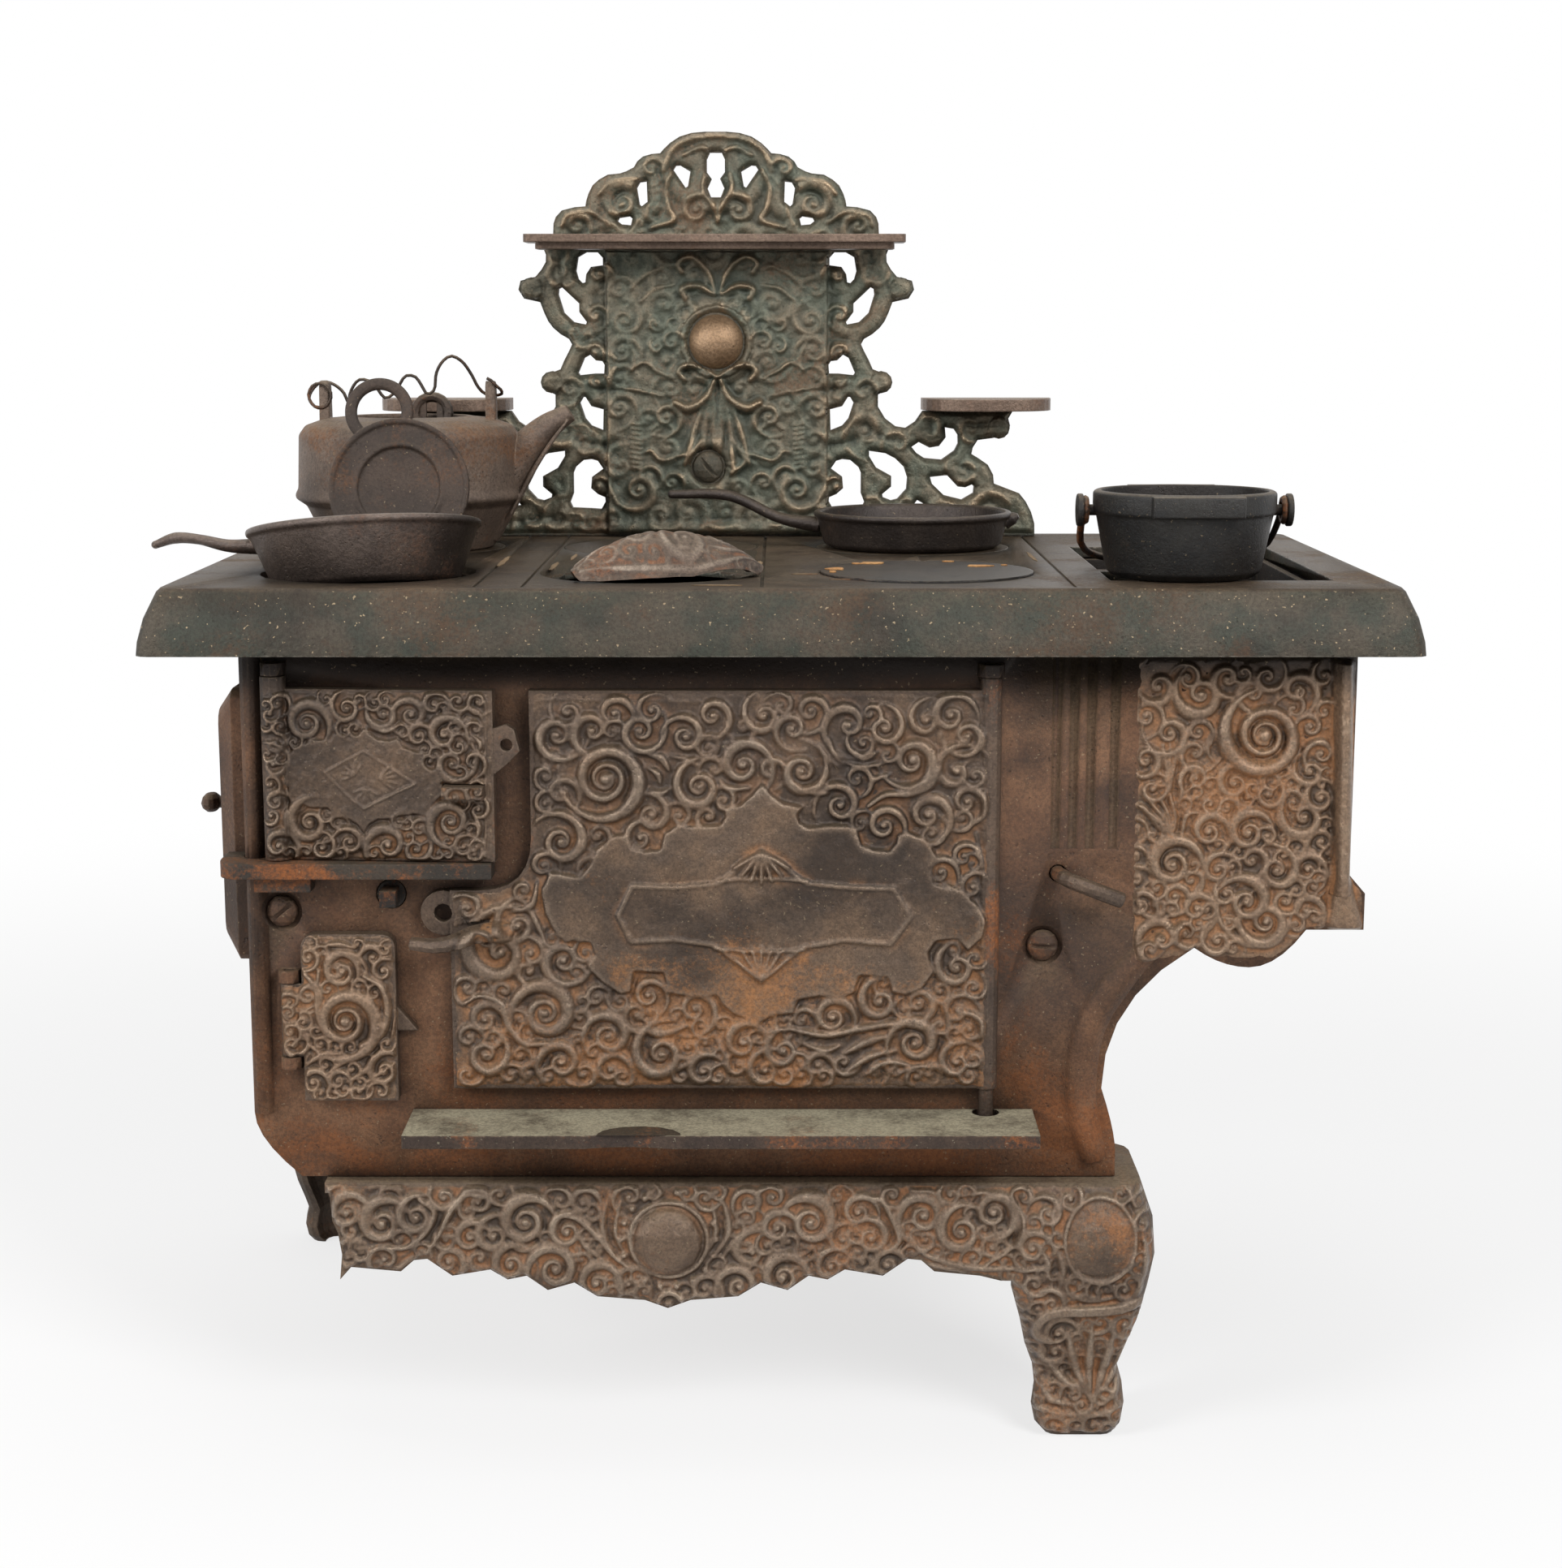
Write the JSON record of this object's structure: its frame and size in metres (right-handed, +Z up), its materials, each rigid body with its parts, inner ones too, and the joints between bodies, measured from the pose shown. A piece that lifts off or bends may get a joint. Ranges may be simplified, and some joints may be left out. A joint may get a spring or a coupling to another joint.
{
  "type": "toy stove",
  "caption": "Cast iron toy cooking stove with hinged doors, water tank, pierced back plate, cabriole legs, and loose pots, pans and kettle.",
  "frame": {"origin": "on the ground, under the middle of the object's bounding box", "axes": "+X to the right of someone facing the stove, +Y towards its back, +Z up"},
  "size_m": [0.4082, 0.232, 0.4359],
  "materials": {
    "hob_iron": "dark cast iron, dusty and worn",
    "body_iron": "rusty brown cast iron",
    "shelf_iron": "pale dusty cast iron",
    "back_iron": "dark patinated cast iron",
    "bare_iron": "plain worn cast iron",
    "pan_iron": "black cast iron",
    "kettle_iron": "rusty grey-brown cast iron",
    "wire": "dark bent iron"
  },
  "bodies": {
    "stove": {"hob_plate": "hob_iron", "front_panel": "body_iron", "left_end": "body_iron", "right_end": "body_iron", "rear_panel": "body_iron", "bottom_plate": "body_iron", "oven_left_plate": "bare_iron", "oven_right_plate": "bare_iron", "oven_floor": "bare_iron", "oven_top": "bare_iron", "reservoir_casing": "body_iron", "reservoir_tank": "bare_iron", "firebox_shelf": "body_iron", "oven_shelf": "shelf_iron", "front_base": "body_iron", "rear_base": "body_iron", "left_side_apron": "body_iron", "right_side_apron": "body_iron", "back_plate": "back_iron", "crest_shelf": "back_iron", "left_bracket_shelf": "back_iron", "right_bracket_shelf": "back_iron", "back_screw": "bare_iron", "left_bolt": "bare_iron", "right_bolt": "bare_iron", "lid_rear_left": "pan_iron", "lid_rear_middle": "pan_iron", "lid_rear_right": "pan_iron"},
    "fire_leaf": {"firebox_door": "body_iron"},
    "ash_leaf": {"ash_door": "body_iron"},
    "oven_leaf": {"oven_door": "body_iron"},
    "end_leaf": {"end_door": "body_iron", "end_door_knob": "bare_iron"},
    "grate": {"fire_grate": "bare_iron", "shaker_shaft": "bare_iron"},
    "damper": {"damper_lever": "bare_iron", "damper_blade": "bare_iron"},
    "skillet": {"front_pan": "pan_iron"},
    "saucepan": {"rear_pan": "pan_iron"},
    "kettle_body": {"kettle": "kettle_iron", "kettle_ring": "wire"},
    "kettle_wire": {"kettle_bail": "wire"},
    "griddle_plate": {"griddle": "kettle_iron"},
    "pot_body": {"pot": "pan_iron"},
    "pot_wire": {"pot_bail": "wire"},
    "hob_lid": {"eye_lid": "pan_iron"},
    "broken_leaf": {"ornament": "body_iron"}
  },
  "joints": [
    {"name": "fire_door_hinge", "type": "hinge", "parent": "stove", "child": "fire_leaf", "pos_m": [-0.15722, -0.0915, 0.225], "axis": [0, 0, -1], "range_deg": [-3.9, 100]},
    {"name": "ash_door_hinge", "type": "hinge", "parent": "stove", "child": "ash_leaf", "pos_m": [-0.15522, -0.0903, 0.1446], "axis": [0, 0, -1], "range_deg": [0, 100]},
    {"name": "oven_door_hinge", "type": "hinge", "parent": "stove", "child": "oven_leaf", "pos_m": [0.06978, -0.0908, 0.19], "axis": [0, 0, 1], "range_deg": [0, 100]},
    {"name": "end_door_hinge", "type": "hinge", "parent": "stove", "child": "end_leaf", "pos_m": [-0.17232, 0.0063, 0.205], "axis": [0, 0, -1], "range_deg": [0, 100]},
    {"name": "grate_shaft", "type": "hinge", "parent": "stove", "child": "grate", "pos_m": [-0.12212, -0.001, 0.1852], "axis": [0, 1, 0], "range_deg": [-12, 12]},
    {"name": "damper_spindle", "type": "hinge", "parent": "stove", "child": "damper", "pos_m": [0.09228, -0.081, 0.192], "axis": [0, -1, 0], "range_deg": [-25, 75]},
    {"name": "skillet_lift", "type": "slide", "parent": "stove", "child": "skillet", "axis": [0, 0, 1], "range_m": [0, 0.06]},
    {"name": "saucepan_lift", "type": "slide", "parent": "stove", "child": "saucepan", "axis": [0, 0, 1], "range_m": [0, 0.03]},
    {"name": "kettle_draw", "type": "slide", "parent": "stove", "child": "kettle_body", "axis": [-1, 0, 0], "range_m": [0, 0.06]},
    {"name": "kettle_bail_hinge", "type": "hinge", "parent": "kettle_body", "child": "kettle_wire", "pos_m": [-0.13172, 0.049, 0.3395], "axis": [1, 0, 0], "range_deg": [0, 20]},
    {"name": "griddle_lift", "type": "slide", "parent": "stove", "child": "griddle_plate", "axis": [0, 0, 1], "range_m": [0, 0.05]},
    {"name": "pot_lift", "type": "slide", "parent": "stove", "child": "pot_body", "axis": [0, 0, 1], "range_m": [0, 0.06]},
    {"name": "pot_bail_hinge", "type": "hinge", "parent": "pot_body", "child": "pot_wire", "pos_m": [0.13378, -0.061, 0.3066], "axis": [1, 0, 0], "range_deg": [0, 100]},
    {"name": "lid_lift", "type": "slide", "parent": "stove", "child": "hob_lid", "axis": [0, 0, 1], "range_m": [0, 0.03]},
    {"name": "leaf_lift", "type": "slide", "parent": "stove", "child": "broken_leaf", "axis": [0, 0, 1], "range_m": [0, 0.05]}
  ]
}
